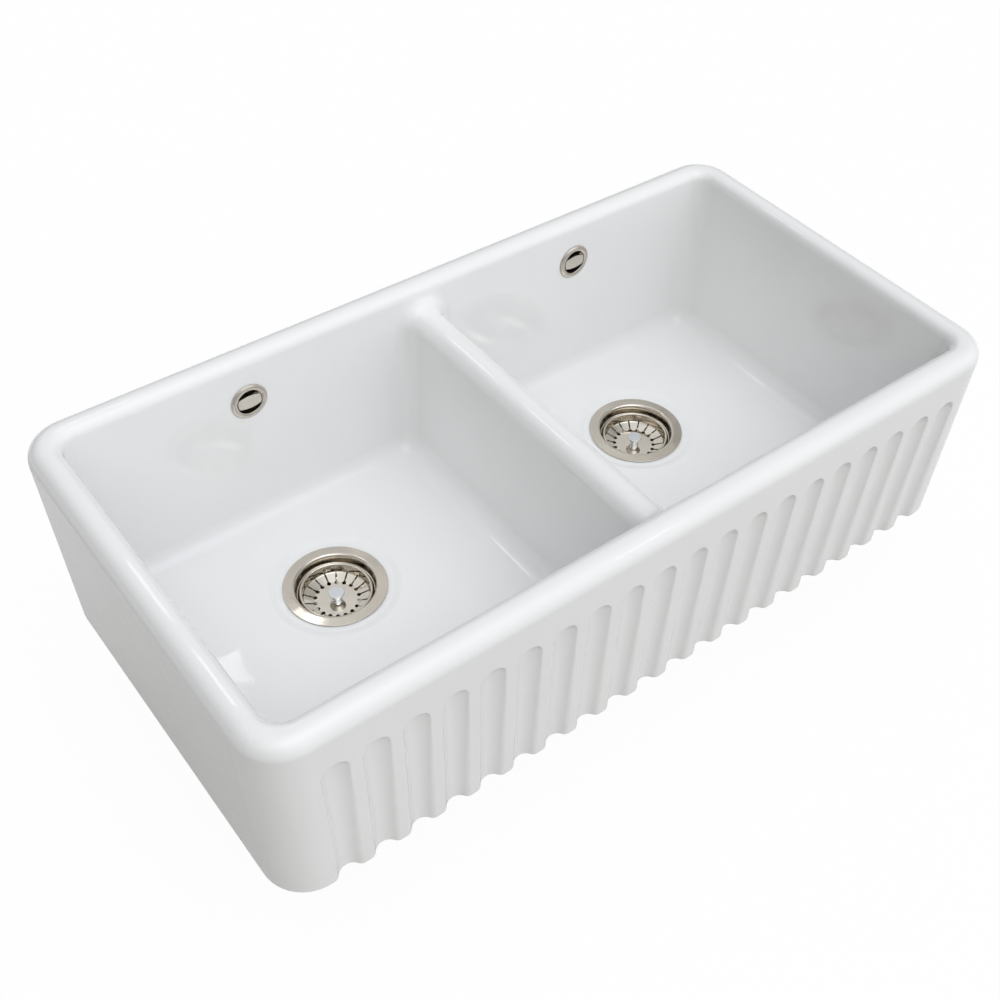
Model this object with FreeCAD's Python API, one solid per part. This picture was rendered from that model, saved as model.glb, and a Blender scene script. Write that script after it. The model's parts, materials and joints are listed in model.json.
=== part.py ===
import FreeCAD, Part
import math
import os

from FreeCAD import Vector

# ---------------------------------------------------------------------------------------------
# Sizes in millimetres. Origin: middle of the sink's flat base. +X right, +Y back, +Z up.
# ---------------------------------------------------------------------------------------------

# glazed fireclay body
sink_width = 895.0
sink_depth = 464.0
sink_height = 234.0
corner_radius = 45.0          # outer vertical corners, in plan
wall_thickness = 31.0         # rim to bowl, measured at the rim
floor_thickness = 20.0
draft_angle = 1.0             # degrees that every bowl wall leans outwards
bowl_floor_radius = 22.0      # hollow between bowl floor and side walls
bowl_corner_radius = 20.0     # hollow between front or back wall and everything it meets
rim_outer_radius = 17.0
rim_inner_radius = 12.0
base_edge_radius = 3.0

# low divider between the two bowls
divider_thickness = 36.0
divider_drop = 25.5           # rim down to the divider's top
divider_edge_radius = 17.5

# fluted front: round-topped hollows that run down and out of the bottom edge
flute_count = 20
flute_pitch = 40.3
flute_drop = 50.0             # rim down to the top of each arch
flute_width_top = 28.0
flute_width_base = 24.0
flute_depth = 9.0
flute_lip_top = 1.5           # radius of the rounded lip at the arch
flute_lip_base = 8.0          # radius of the rounded lip at the bottom edge

# drain opening in each bowl's floor
drain_setback = 60.0          # from the middle of the sink towards the back
drain_offset = 1.5            # from the middle of each bowl towards the divider
drain_hole_radius = 46.0
dish_radius = 64.0            # flat of the shallow dish round the flange
dish_slope_run = 8.0
dish_depth = 3.0
dish_edge_radius = 6.0
underside_recess_radius = 63.0
underside_recess_depth = 5.0

# strainer body: the flanged steel cup that shows in the bowl
flange_radius = 57.0
flange_thickness = 1.8
flange_crown = 0.9            # how far the flange rises from its edge to its lip
flange_bend = 2.0             # where the flange turns level, short of its lip
flange_flat = 3.8             # level part of the flange inside that bend
flange_lip_radius = 3.2
flange_seal_thickness = 1.0
flange_seal_inset = 2.0       # seal's edge inside the flange's edge
cup_radius = 43.5             # inside, at the lip
cup_wall = 1.2
cup_step_drop = 12.0          # lip down to the rounded step
cup_step_width = 2.4
cup_step_fall = 0.8
cup_step_bend_top = 1.6
cup_step_bend_low = 1.0
cup_bend_outside = 0.8
cup_depth = 35.0              # lip down to the bottom plate
cup_round = 5.0
cup_outlet_radius = 20.0
cup_plate = 1.4
hub_radius = 8.0
hub_height = 4.0
hub_drop = 3.6                # bottom plate down to the hub
spoke_count = 4
spoke_width = 3.0
spoke_height = 4.2

# rubber and plastic below the floor
floor_gasket_thickness = 3.0
gasket_radius = 56.0
pot_flange_radius = 58.0
pot_flange_thickness = 5.0
pot_clearance = 1.2           # between the cup's outside and the pot's bore
pot_wall = 2.8
pot_depth = 40.0              # top of the pot's flange to its sloping floor
pot_slope = 9.0
pot_edge_radius = 1.0
pot_round_inside = 3.0
pot_round_outside = 4.0
outlet_radius = 23.9          # outside of the 1 1/2 inch outlet
outlet_bore_radius = 20.4
outlet_length = 30.0
pot_boss_radius = 9.0
pot_boss_height = 14.0
pot_boss_rise = 7.0           # boss above the outlet's top
pot_rib_count = 3
pot_rib_width = 3.0
pot_rib_turn = 30.0           # degrees from +X to the first rib
hose_spigot_radius = 10.5
hose_spigot_bore = 8.5
hose_spigot_length = 22.0
spigot_collar_radius = 12.5   # shoulder that the hose is pushed up to
inlet_collar_length = 1.7     # from the pot's wall out to that shoulder
inlet_drop = 26.0             # pot flange top down to the hose inlet's axis

# screw that pulls cup and pot together, hollow at the top for the basket's stem
screw_head_radius = 7.0
screw_head_height = 3.6
screw_radius = 4.6
screw_edge_radius = 0.8
screw_recess = 2.3            # screw's end above the boss's lower face
screw_bore_radius = 2.5
screw_bore_depth = 22.0
screw_slot_width = 1.6
screw_slot_depth = 1.4
thread_clearance = 0.1

# strainer basket, its knob, stem and rubber seal
basket_clearance = 1.1        # basket bead to cup wall
basket_bead_radius = 1.5
basket_drop = 8.5             # lip of the cup down to the top of the bead
basket_foot_radius = 36.5     # where the basket's wall turns into its slotted slope
basket_foot_drop = 20.5
basket_disc_radius = 24.6
basket_disc_drop = 24.5       # lip of the cup down to the flat disc
basket_sheet = 0.9
basket_bend_outside = 3.0
basket_slot_count = 18
basket_slot_width = 1.9
basket_slot_rise = 5.6        # how far each slot climbs above the disc
basket_keyhole_radius = 2.3
basket_keyhole_inset = 0.4    # keyhole's centre inside the disc's edge
knob_radius = 8.8
knob_cap_edge = 1.8
knob_cap_depth = 4.2
knob_neck_radius = 4.6
knob_height = 11.7
knob_collar_radius = 5.8
knob_collar_height = 1.6
knob_cap_round = 0.7
knob_edge_round = 0.5
knob_neck_bend_top = 1.5
knob_neck_bend_low = 0.3
knob_bore_clearance = 0.1
stem_radius = 2.2
stem_length = 20.0            # below its head
stem_head_radius = 9.0
stem_head_height = 1.4
stem_journal = 4.0            # above the disc, inside the knob
stem_tip_radius = 0.8
journal_clearance = 0.05
seal_radius = 22.0
seal_gap = 0.1                # faces of the basket, stem and seal that turn on each other
seal_web = 1.6
seal_lip_width = 4.0
seal_edge_radius = 0.6
seal_lip_edge_radius = 0.3
plug_travel = 6.0             # how far the basket is pushed down to close the drain
plug_rest_gap = 0.3           # seal to seat when closed

# overflow in each bowl's back wall
overflow_drop = 52.6          # rim down to the overflow's axis
overflow_hole_radius = 18.0
overflow_land_radius = 21.4
overflow_ring_radius = 20.4
overflow_ring_thickness = 2.6
overflow_ring_edge = 1.2      # thickness at the ring's outer edge
overflow_ring_bevel = 0.7     # crest back to the bore's mouth
overflow_ring_crown = 2.4     # radius of the domed crest
overflow_ring_round = 0.7
overflow_seal_thickness = 0.6
overflow_seal_inset = 0.9     # seal's edge inside the ring's edge
overflow_tube_radius = 16.5
overflow_bore_radius = 14.4
overflow_tube_reach = 12.0    # beyond the sink's back face
plate_height = 15.6
plate_end_height = 11.3
plate_thickness = 1.0
plate_recess = 0.9            # ring face back to the plate
plate_side_gap = 0.9
plate_corner_radius = 1.2
plate_stem_radius = 3.0
plate_stem_length = 7.0       # plate back to the arm that crosses the bore
plate_arm_depth = 4.0
plate_arm_height = 4.0
back_seal_thickness = 2.0
back_seal_inset = 1.0
elbow_flange_radius = 27.0
elbow_flange_thickness = 4.0
elbow_wall = 2.6
elbow_edge_radius = 1.0
elbow_round_outside = 10.0
elbow_round_inside = 7.4
elbow_depth = 30.0            # back seal to the elbow's closed end
elbow_collar_drop = 8.3       # elbow's body down to the shoulder of its hose spigot
elbow_spigot_length = 20.0
elbow_spigot_setback = 17.0   # back seal to the spigot's axis

# ---------------------------------------------------------------------------------------------
# Levels and places that follow from the sizes
# ---------------------------------------------------------------------------------------------

overshoot = 20.0              # how far cutting solids run past the face that they open
small_overshoot = 1.0
draft = math.tan(math.radians(draft_angle))
inner_half_width = sink_width / 2 - wall_thickness
inner_half_depth = sink_depth / 2 - wall_thickness
divider_top = sink_height - divider_drop
bowl_centre = (inner_half_width + divider_thickness / 2) / 2
drain_x = bowl_centre - drain_offset
drain_places = {"left": (-drain_x, drain_setback), "right": (drain_x, drain_setback)}
overflow_places = {"left": -bowl_centre, "right": bowl_centre}

dish_floor = floor_thickness - dish_depth
flange_top = dish_floor + flange_seal_thickness + flange_thickness
cup_step_radius = cup_radius - cup_step_width
cup_plate_top = flange_top - cup_depth
hub_top = cup_plate_top - hub_drop
screw_top = hub_top + screw_head_height
gasket_bottom = underside_recess_depth - floor_gasket_thickness
pot_bore_radius = cup_radius + cup_wall + pot_clearance - cup_step_width
pot_floor = gasket_bottom - pot_depth
outlet_top = pot_floor - pot_slope
outlet_bottom = outlet_top - outlet_length
boss_top = outlet_top + pot_boss_rise
boss_bottom = boss_top - pot_boss_height
inlet_level = gasket_bottom - inlet_drop

basket_radius = cup_step_radius - basket_clearance
bead_centre = flange_top - basket_drop - basket_bead_radius
basket_foot = flange_top - basket_foot_drop
disc_top = flange_top - basket_disc_drop
disc_bottom = disc_top - basket_sheet
stem_head_top = disc_bottom - seal_gap
seal_top = stem_head_top - stem_head_height
seal_bottom = cup_plate_top + plug_travel + plug_rest_gap
stem_bottom = seal_top - stem_length

overflow_level = sink_height - overflow_drop
back_face = sink_depth / 2
land_face = inner_half_depth - draft * (overflow_drop - overflow_land_radius)
ring_back = land_face - overflow_seal_thickness
ring_front = ring_back - overflow_ring_thickness
elbow_front = back_face + back_seal_thickness
elbow_back = elbow_front + elbow_depth
elbow_bore_radius = overflow_tube_radius + thread_clearance
elbow_radius = elbow_bore_radius + elbow_wall
elbow_collar_bottom = overflow_level - elbow_radius - elbow_collar_drop
elbow_spigot_bottom = elbow_collar_bottom - elbow_spigot_length


# ---------------------------------------------------------------------------------------------
# Helpers
# ---------------------------------------------------------------------------------------------

def outline(points, radii, place):
    """Closed wire through 2-D points, each corner rounded to its radius, put in space by place(a, b)."""
    count = len(points)
    starts, ends, mids = [], [], []
    for i in range(count):
        px, py = points[i]
        ax, ay = points[i - 1]
        bx, by = points[(i + 1) % count]
        ua = ((ax - px), (ay - py))
        ub = ((bx - px), (by - py))
        la, lb = math.hypot(*ua), math.hypot(*ub)
        ua = (ua[0] / la, ua[1] / la)
        ub = (ub[0] / lb, ub[1] / lb)
        radius = radii[i]
        if radius <= 0:
            starts.append((px, py))
            ends.append((px, py))
            mids.append(None)
            continue
        half = math.acos(max(-1.0, min(1.0, ua[0] * ub[0] + ua[1] * ub[1]))) / 2
        run = radius / math.tan(half)
        starts.append((px + ua[0] * run, py + ua[1] * run))
        ends.append((px + ub[0] * run, py + ub[1] * run))
        bx_, by_ = ua[0] + ub[0], ua[1] + ub[1]
        length = math.hypot(bx_, by_)
        reach = radius / math.sin(half) - radius
        mids.append((px + bx_ / length * reach, py + by_ / length * reach))
    edges = []
    for i in range(count):
        if mids[i] is not None:
            edges.append(Part.Arc(place(*starts[i]), place(*mids[i]), place(*ends[i])).toShape())
        a, b = ends[i], starts[(i + 1) % count]
        if math.hypot(a[0] - b[0], a[1] - b[1]) > 1e-6:
            edges.append(Part.LineSegment(place(*a), place(*b)).toShape())
    return Part.Wire(edges)


def turned(points, radii, x, y):
    """Solid of revolution about the vertical through (x, y); points are (radius, height)."""
    wire = outline(points, radii, lambda r, z: Vector(x + r, y, z))
    return Part.Face(wire).revolve(Vector(x, y, 0), Vector(0, 0, 1), 360)


def turned_back(points, radii, x, z):
    """Solid of revolution about the line through (x, z) along Y; points are (radius, y)."""
    wire = outline(points, radii, lambda r, y: Vector(x + r, y, z))
    return Part.Face(wire).revolve(Vector(x, 0, z), Vector(0, 1, 0), 360)


def sharp(points):
    return [0.0] * len(points)


def post(x, y, radius, bottom, top):
    return Part.makeCylinder(radius, top - bottom, Vector(x, y, bottom), Vector(0, 0, 1))


def rod_back(x, z, radius, front, back):
    return Part.makeCylinder(radius, back - front, Vector(x, front, z), Vector(0, 1, 0))


def bar(x0, x1, y0, y1, z0, z1):
    return Part.makeBox(x1 - x0, y1 - y0, z1 - z0, Vector(x0, y0, z0))


def spun(shape, x, y, angle):
    turned_shape = shape.copy()
    turned_shape.rotate(Vector(x, y, 0), Vector(0, 0, 1), angle)
    return turned_shape


def save(shape, name):
    solid = shape.removeSplitter()
    solid.exportStep("parts/" + name + ".step")
    print(name, "solids", len(solid.Solids), "valid", solid.isValid(), "volume", round(solid.Volume))


# ---------------------------------------------------------------------------------------------
# Fireclay body
# ---------------------------------------------------------------------------------------------

def outer_block():
    """Rounded block with its rim and base edges softened."""
    hw, hd = sink_width / 2, sink_depth / 2
    corners = [(-hw, -hd), (hw, -hd), (hw, hd), (-hw, hd)]
    base = outline(corners, [corner_radius] * 4, lambda x, y: Vector(x, y, 0))
    block = Part.Face(base).extrude(Vector(0, 0, sink_height))
    top = [e for e in block.Edges if e.BoundBox.ZMin > sink_height - 0.01]
    return block.makeFillet(rim_outer_radius, top)


def bowls_space():
    """The air in both bowls and over the divider, with every inner corner rounded."""
    top = sink_height + overshoot
    lean_top = draft * overshoot
    lean_floor = draft * (sink_height - floor_thickness)
    lean_divider = draft * (divider_top - floor_thickness)
    wall_top = inner_half_width + lean_top
    wall_floor = inner_half_width - lean_floor
    mid_top = divider_thickness / 2
    mid_floor = mid_top + lean_divider
    points = [(-wall_top, top), (-wall_floor, floor_thickness), (-mid_floor, floor_thickness),
              (-mid_top, divider_top), (mid_top, divider_top), (mid_floor, floor_thickness),
              (wall_floor, floor_thickness), (wall_top, top)]
    floor_r, edge_r = bowl_floor_radius, divider_edge_radius
    radii = [0, floor_r, floor_r, edge_r, edge_r, floor_r, floor_r, 0]
    profile = outline(points, radii, lambda x, z: Vector(x, -sink_depth / 2, z))
    along = Part.Face(profile).extrude(Vector(0, sink_depth, 0))
    depth_top = inner_half_depth + lean_top
    depth_floor = inner_half_depth - lean_floor
    sides = [(-depth_top, top), (-depth_floor, floor_thickness), (depth_floor, floor_thickness),
             (depth_top, top)]
    across = outline(sides, sharp(sides), lambda y, z: Vector(-sink_width / 2, y, z))
    space = along.common(Part.Face(across).extrude(Vector(sink_width, 0, 0)))
    ends = []
    for face in space.Faces:
        normal = face.normalAt(0.5, 0.5)
        if abs(normal.y) > 0.9 and face.BoundBox.ZLength > sink_height / 2:
            ends += [e for e in face.Edges if e.BoundBox.ZMin < top - 0.01]
    return space.makeFillet(bowl_corner_radius, ends)


def flute_section(width, lip, level, centre, half=False):
    """Plan outline of one flute at a level: lip, round hollow, lip, closed in front of the face."""
    face = -sink_depth / 2
    half_width = width / 2
    radius = (half_width ** 2 + flute_depth ** 2) / (2 * flute_depth)
    out = radius - flute_depth
    reach = math.sqrt((radius + lip) ** 2 - (lip + out) ** 2)
    share = radius / (radius + lip)
    joint = (reach * share, -out + (lip + out) * share)
    turn = math.atan2(lip + out, reach)
    mid_angle = (turn + math.pi + 1.5 * math.pi) / 2
    lip_mid = (reach + lip * math.cos(mid_angle), lip + lip * math.sin(mid_angle))

    def at(a, b):
        return Vector(centre + a, face + b, level)

    def arc(a, b, c):
        return Part.Arc(at(*a), at(*b), at(*c)).toShape()

    def line(a, b):
        return Part.LineSegment(at(*a), at(*b)).toShape()

    deepest = (0.0, flute_depth)
    quarter = (math.pi / 2 + turn) / 2
    near_mid = (radius * math.cos(quarter), -out + radius * math.sin(quarter))
    right = [arc(deepest, near_mid, joint), arc(joint, lip_mid, (reach, 0.0))]
    outside = -overshoot / 2
    if half:
        edges = right + [line((reach, 0.0), (reach, outside)), line((reach, outside), (0.0, outside)),
                         line((0.0, outside), deepest)]
        return Part.Wire(edges)

    def flip(p):
        return (-p[0], p[1])

    left = [arc((-reach, 0.0), flip(lip_mid), flip(joint)), arc(flip(joint), flip(near_mid), deepest)]
    edges = left + right + [line((reach, 0.0), (reach, outside)),
                            line((reach, outside), (-reach, outside)),
                            line((-reach, outside), (-reach, 0.0))]
    return Part.Wire(edges)


def flute(centre):
    """One flute: a hollow that softens towards the base, closed at the top by a half-round end."""
    spring = sink_height - flute_drop - flute_width_top / 2
    low = flute_section(flute_width_base, flute_lip_base, -overshoot / 2, centre)
    high = flute_section(flute_width_top, flute_lip_top, spring, centre)
    shaft = Part.makeLoft([low, high], True, True)
    half = Part.Face(flute_section(flute_width_top, flute_lip_top, spring, centre, half=True))
    arch = half.revolve(Vector(centre, 0, spring), Vector(0, 1, 0), -180)
    return shaft, arch


def drain_cut(x, y):
    """Shallow dish, hole and underside recess of one drain."""
    dish = turned([(0, dish_floor), (dish_radius, dish_floor),
                   (dish_radius + dish_slope_run, floor_thickness),
                   (0, floor_thickness)], [0, 0, 0, 0], x, y)
    hole = post(x, y, drain_hole_radius, -overshoot, floor_thickness)
    recess = post(x, y, underside_recess_radius, -overshoot, underside_recess_depth)
    return [dish, hole, recess]


def overflow_cut(x):
    """Hole through the back wall and the small flat land that the ring sits on."""
    hole = rod_back(x, overflow_level, overflow_hole_radius, 0, back_face + overshoot)
    land = rod_back(x, overflow_level, overflow_land_radius, 0, land_face)
    return [hole, land]


def sink_body():
    body = outer_block().cut(bowls_space())
    rim_level = [e for e in body.Edges if abs(e.BoundBox.ZMin - sink_height) < 0.01
                 and e.BoundBox.ZLength < 0.01]
    inner = [e for e in rim_level if abs(e.CenterOfMass.x) < sink_width / 2 - rim_outer_radius - 1
             and abs(e.CenterOfMass.y) < sink_depth / 2 - rim_outer_radius - 1]
    body = body.makeFillet(rim_inner_radius, inner)
    for i in range(flute_count):
        centre = (i - (flute_count - 1) / 2) * flute_pitch
        shaft, arch = flute(centre)
        body = body.cut(shaft).cut(arch)
    base = [e for e in body.Edges if e.BoundBox.ZMax < 0.01]
    body = body.makeFillet(base_edge_radius, base)
    for x, y in drain_places.values():
        for tool in drain_cut(x, y):
            body = body.cut(tool)
        dish_rim = dish_radius + dish_slope_run
        rings = []
        for e in body.Edges:
            box = e.BoundBox
            centred = abs(box.Center.x - x) < 0.01 and abs(box.Center.y - y) < 0.01
            if centred and box.ZLength < 0.01 and box.ZMax > dish_floor - 0.01:
                if box.XLength > 2 * dish_radius - 0.01 and box.XLength < 2 * dish_rim + 0.01:
                    rings.append(e)
        body = body.makeFillet(dish_edge_radius, rings)
    for x in overflow_places.values():
        for tool in overflow_cut(x):
            body = body.cut(tool)
    return body


# ---------------------------------------------------------------------------------------------
# Waste under each drain
# ---------------------------------------------------------------------------------------------

def strainer_body(x, y):
    """Pressed steel cup with its flange, rounded step, and spoked hub for the screw."""
    wall_out = cup_radius + cup_wall
    step_out = cup_step_radius + cup_wall
    step_top = flange_top - cup_step_drop
    under = cup_plate_top - cup_plate
    points = [(flange_radius, flange_top - flange_thickness), (flange_radius, flange_top - flange_crown),
              (cup_radius + flange_flat, flange_top), (cup_radius, flange_top),
              (cup_radius, step_top), (cup_step_radius, step_top - cup_step_fall),
              (cup_step_radius, cup_plate_top), (cup_outlet_radius, cup_plate_top),
              (cup_outlet_radius, under), (step_out, under),
              (step_out, step_top - cup_step_fall - cup_wall), (wall_out, step_top - cup_wall),
              (wall_out, flange_top - flange_thickness)]
    radii = [0, flange_crown / 2, flange_bend, flange_lip_radius, cup_step_bend_top, cup_step_bend_low,
             cup_round, 0, 0, cup_round + cup_wall, cup_bend_outside, cup_bend_outside, 0]
    cup = turned(points, radii, x, y)
    hub = post(x, y, hub_radius, hub_top - hub_height, hub_top)
    cup = cup.fuse(hub)
    for i in range(spoke_count):
        spoke = bar(x, x + cup_outlet_radius + spoke_width, y - spoke_width / 2, y + spoke_width / 2,
                    under - spoke_height, under)
        cup = cup.fuse(spun(spoke, x, y, 360.0 / spoke_count * (i + 0.5)))
    cup = cup.cut(post(x, y, hub_radius, hub_top, under + cup_plate))
    return cup.cut(post(x, y, screw_radius + thread_clearance, hub_top - 2 * hub_height, under))


def flange_seal(x, y):
    """Thin rubber washer between the flange and the dish."""
    ring = post(x, y, flange_radius - flange_seal_inset, dish_floor, dish_floor + flange_seal_thickness)
    return ring.cut(post(x, y, drain_hole_radius, dish_floor - small_overshoot, flange_top))


def floor_gasket(x, y):
    """Thick rubber washer between the underside and the waste body."""
    ring = post(x, y, gasket_radius, gasket_bottom, underside_recess_depth)
    return ring.cut(post(x, y, drain_hole_radius, gasket_bottom - small_overshoot,
                         underside_recess_depth + small_overshoot))


def waste_body(x, y):
    """Moulded pot with its clamping flange, ribbed screw boss, outlet and hose inlet."""
    pot_out = pot_bore_radius + pot_wall
    flange_under = gasket_bottom - pot_flange_thickness
    spigot_start = outlet_top - pot_wall / 2
    points = [(pot_bore_radius, gasket_bottom), (pot_flange_radius, gasket_bottom),
              (pot_flange_radius, flange_under), (pot_out, flange_under),
              (pot_out, pot_floor), (outlet_radius, spigot_start),
              (outlet_radius, outlet_bottom), (outlet_bore_radius, outlet_bottom),
              (outlet_bore_radius, outlet_top), (pot_bore_radius, pot_floor)]
    radii = [0, pot_edge_radius, pot_edge_radius, 0, pot_round_outside, 0, 0, 0, 0, pot_round_inside]
    pot = turned(points, radii, x, y)
    boss = post(x, y, pot_boss_radius, boss_bottom, boss_top)
    for i in range(pot_rib_count):
        rib = bar(x, x + outlet_bore_radius + pot_wall / 2, y - pot_rib_width / 2, y + pot_rib_width / 2,
                  boss_bottom, outlet_top)
        boss = boss.fuse(spun(rib, x, y, pot_rib_turn + 360.0 / pot_rib_count * i))
    pot = pot.fuse(boss).cut(post(x, y, screw_radius + thread_clearance, boss_bottom - small_overshoot,
                                  boss_top + small_overshoot))
    shoulder = y + pot_out + inlet_collar_length
    spigot_end = shoulder + hose_spigot_length
    collar = rod_back(x, inlet_level, spigot_collar_radius, y + pot_bore_radius, shoulder)
    spigot = collar.fuse(rod_back(x, inlet_level, hose_spigot_radius, y + pot_bore_radius, spigot_end))
    spigot = spigot.cut(post(x, y, pot_bore_radius + pot_wall / 2, pot_floor, gasket_bottom))
    pot = pot.fuse(spigot)
    return pot.cut(rod_back(x, inlet_level, hose_spigot_bore, y + pot_bore_radius - pot_wall,
                            spigot_end + small_overshoot))


def waste_screw(x, y):
    """Slotted screw that pulls cup and pot together, hollow for the basket's stem."""
    end = boss_bottom + screw_recess
    points = [(0, screw_top), (screw_head_radius, screw_top), (screw_head_radius, hub_top),
              (screw_radius, hub_top), (screw_radius, end), (0, end)]
    screw = turned(points, [0, screw_edge_radius, 0, 0, screw_edge_radius, 0], x, y)
    above = screw_top + small_overshoot
    half_slot = screw_head_radius + small_overshoot
    screw = screw.cut(post(x, y, screw_bore_radius, screw_top - screw_bore_depth, above))
    return screw.cut(bar(x - half_slot, x + half_slot, y - screw_slot_width / 2, y + screw_slot_width / 2,
                         screw_top - screw_slot_depth, above))


def strainer_basket(x, y):
    """Pressed basket: rolled bead, wall, slotted slope with keyhole ends, flat disc."""
    hole = stem_radius + journal_clearance
    wall_radius = basket_radius - basket_bead_radius
    slope = math.atan2(basket_foot - disc_top, basket_foot_radius - basket_disc_radius)
    disc_shift = basket_sheet * math.tan(slope / 2)
    foot_shift = basket_sheet * math.tan((math.pi / 2 - slope) / 2)
    points = [(hole, disc_top), (basket_disc_radius, disc_top), (basket_foot_radius, basket_foot),
              (wall_radius, bead_centre), (wall_radius + basket_sheet, bead_centre),
              (basket_foot_radius + basket_sheet, basket_foot - foot_shift),
              (basket_disc_radius + disc_shift, disc_bottom), (hole, disc_bottom)]
    bend = basket_bend_outside - basket_sheet
    radii = [0, basket_bend_outside, bend, 0, 0, basket_bend_outside, bend, 0]
    basket = turned(points, radii, x, y)
    bead = Part.makeTorus(wall_radius, basket_bead_radius, Vector(x, y, bead_centre), Vector(0, 0, 1))
    basket = basket.fuse(bead)
    keyhole = basket_disc_radius - basket_keyhole_inset
    below = disc_bottom - small_overshoot
    cutters = []
    for i in range(basket_slot_count):
        slot = bar(x + keyhole, x + wall_radius + basket_sheet, y - basket_slot_width / 2,
                   y + basket_slot_width / 2, below, disc_top + basket_slot_rise)
        end = post(x + keyhole, y, basket_keyhole_radius, below, disc_top + small_overshoot)
        cutters.append(spun(slot.fuse(end), x, y, 360.0 / basket_slot_count * i))
    return basket.cut(Part.Compound(cutters))


def basket_knob(x, y):
    """Mushroom knob with a flat cap, coned underneath, on a short neck and collar."""
    top = disc_top + knob_height
    points = [(0, disc_top), (knob_collar_radius, disc_top),
              (knob_collar_radius, disc_top + knob_collar_height),
              (knob_neck_radius, disc_top + knob_collar_height),
              (knob_neck_radius, top - knob_cap_depth), (knob_radius, top - knob_cap_edge),
              (knob_radius, top), (0, top)]
    radii = [0, 0, knob_edge_round, knob_neck_bend_low, knob_neck_bend_top, knob_edge_round,
             knob_cap_round, 0]
    knob = turned(points, radii, x, y)
    return knob.cut(post(x, y, stem_radius + knob_bore_clearance, disc_top - small_overshoot,
                         disc_top + stem_journal))


def basket_stem(x, y):
    """Pin that the basket turns on, with the head that carries the seal."""
    shaft_top = disc_top + stem_journal - seal_gap
    points = [(0, shaft_top), (stem_radius, shaft_top), (stem_radius, stem_head_top),
              (stem_head_radius, stem_head_top), (stem_head_radius, seal_top),
              (stem_radius, seal_top), (stem_radius, stem_bottom), (0, stem_bottom)]
    return turned(points, [0, 0, 0, 0, 0, 0, stem_tip_radius, 0], x, y)


def basket_seal(x, y):
    """Rubber plug disc with a lip that closes on the cup's bottom plate."""
    hole = stem_radius + journal_clearance
    pocket = stem_head_radius + journal_clearance
    lip_inner = seal_radius - seal_lip_width
    points = [(hole, seal_top), (pocket, seal_top), (pocket, stem_head_top), (seal_radius, stem_head_top),
              (seal_radius, seal_bottom), (lip_inner, seal_bottom), (lip_inner, seal_top - seal_web),
              (hole, seal_top - seal_web)]
    radii = [0, 0, 0, seal_edge_radius, seal_edge_radius, seal_lip_edge_radius, 0, 0]
    return turned(points, radii, x, y)


# ---------------------------------------------------------------------------------------------
# Overflow in each back wall
# ---------------------------------------------------------------------------------------------

def overflow_ring(x):
    """Domed ring in the bowl with the threaded tube that reaches through the wall."""
    tube_end = back_face + overflow_tube_reach
    crest = (overflow_ring_radius + overflow_bore_radius) / 2
    points = [(overflow_ring_radius, ring_back), (overflow_ring_radius, ring_back - overflow_ring_edge),
              (crest, ring_front), (overflow_bore_radius, ring_front + overflow_ring_bevel),
              (overflow_bore_radius, tube_end), (overflow_tube_radius, tube_end),
              (overflow_tube_radius, ring_back)]
    radii = [0, overflow_ring_round, overflow_ring_crown, overflow_ring_round, 0, 0, 0]
    return turned_back(points, radii, x, overflow_level)


def overflow_plate(x):
    """Barrel-shaped plate in the ring's bore, on a stem from the arm that crosses the bore."""
    front = ring_front + plate_recess
    radius = overflow_bore_radius - plate_side_gap
    half_end = plate_end_height / 2
    side = math.sqrt(radius ** 2 - half_end ** 2)

    def at(a, b):
        return Vector(x + a, front, overflow_level + b)

    edges = [Part.Arc(at(-side, half_end), at(0, plate_height / 2), at(side, half_end)).toShape(),
             Part.Arc(at(side, half_end), at(radius, 0), at(side, -half_end)).toShape(),
             Part.Arc(at(side, -half_end), at(0, -plate_height / 2), at(-side, -half_end)).toShape(),
             Part.Arc(at(-side, -half_end), at(-radius, 0), at(-side, half_end)).toShape()]
    plate = Part.Face(Part.Wire(edges)).extrude(Vector(0, plate_thickness, 0))
    corners = [e for e in plate.Edges if e.BoundBox.YLength > plate_thickness - 0.01
               and e.BoundBox.XLength < 0.01]
    plate = plate.makeFillet(plate_corner_radius, corners)
    arm_front = front + plate_thickness + plate_stem_length
    arm_back = arm_front + plate_arm_depth
    stem = rod_back(x, overflow_level, plate_stem_radius, front + plate_thickness / 2, arm_back)
    arm = bar(x - overflow_bore_radius, x + overflow_bore_radius, arm_front, arm_back,
              overflow_level - plate_arm_height / 2, overflow_level + plate_arm_height / 2)
    arm = arm.common(rod_back(x, overflow_level, overflow_bore_radius - journal_clearance, arm_front,
                              arm_back))
    return plate.fuse(stem.fuse(arm))


def overflow_seal(x):
    """Thin washer between the ring and the land in the bowl's wall."""
    washer = rod_back(x, overflow_level, overflow_ring_radius - overflow_seal_inset, ring_back, land_face)
    return washer.cut(rod_back(x, overflow_level, overflow_hole_radius, ring_front, back_face))


def overflow_back_seal(x):
    """Rubber washer between the sink's back face and the elbow."""
    washer = rod_back(x, overflow_level, elbow_flange_radius - back_seal_inset, back_face, elbow_front)
    return washer.cut(rod_back(x, overflow_level, overflow_hole_radius, back_face - small_overshoot,
                               elbow_front + small_overshoot))


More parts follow.
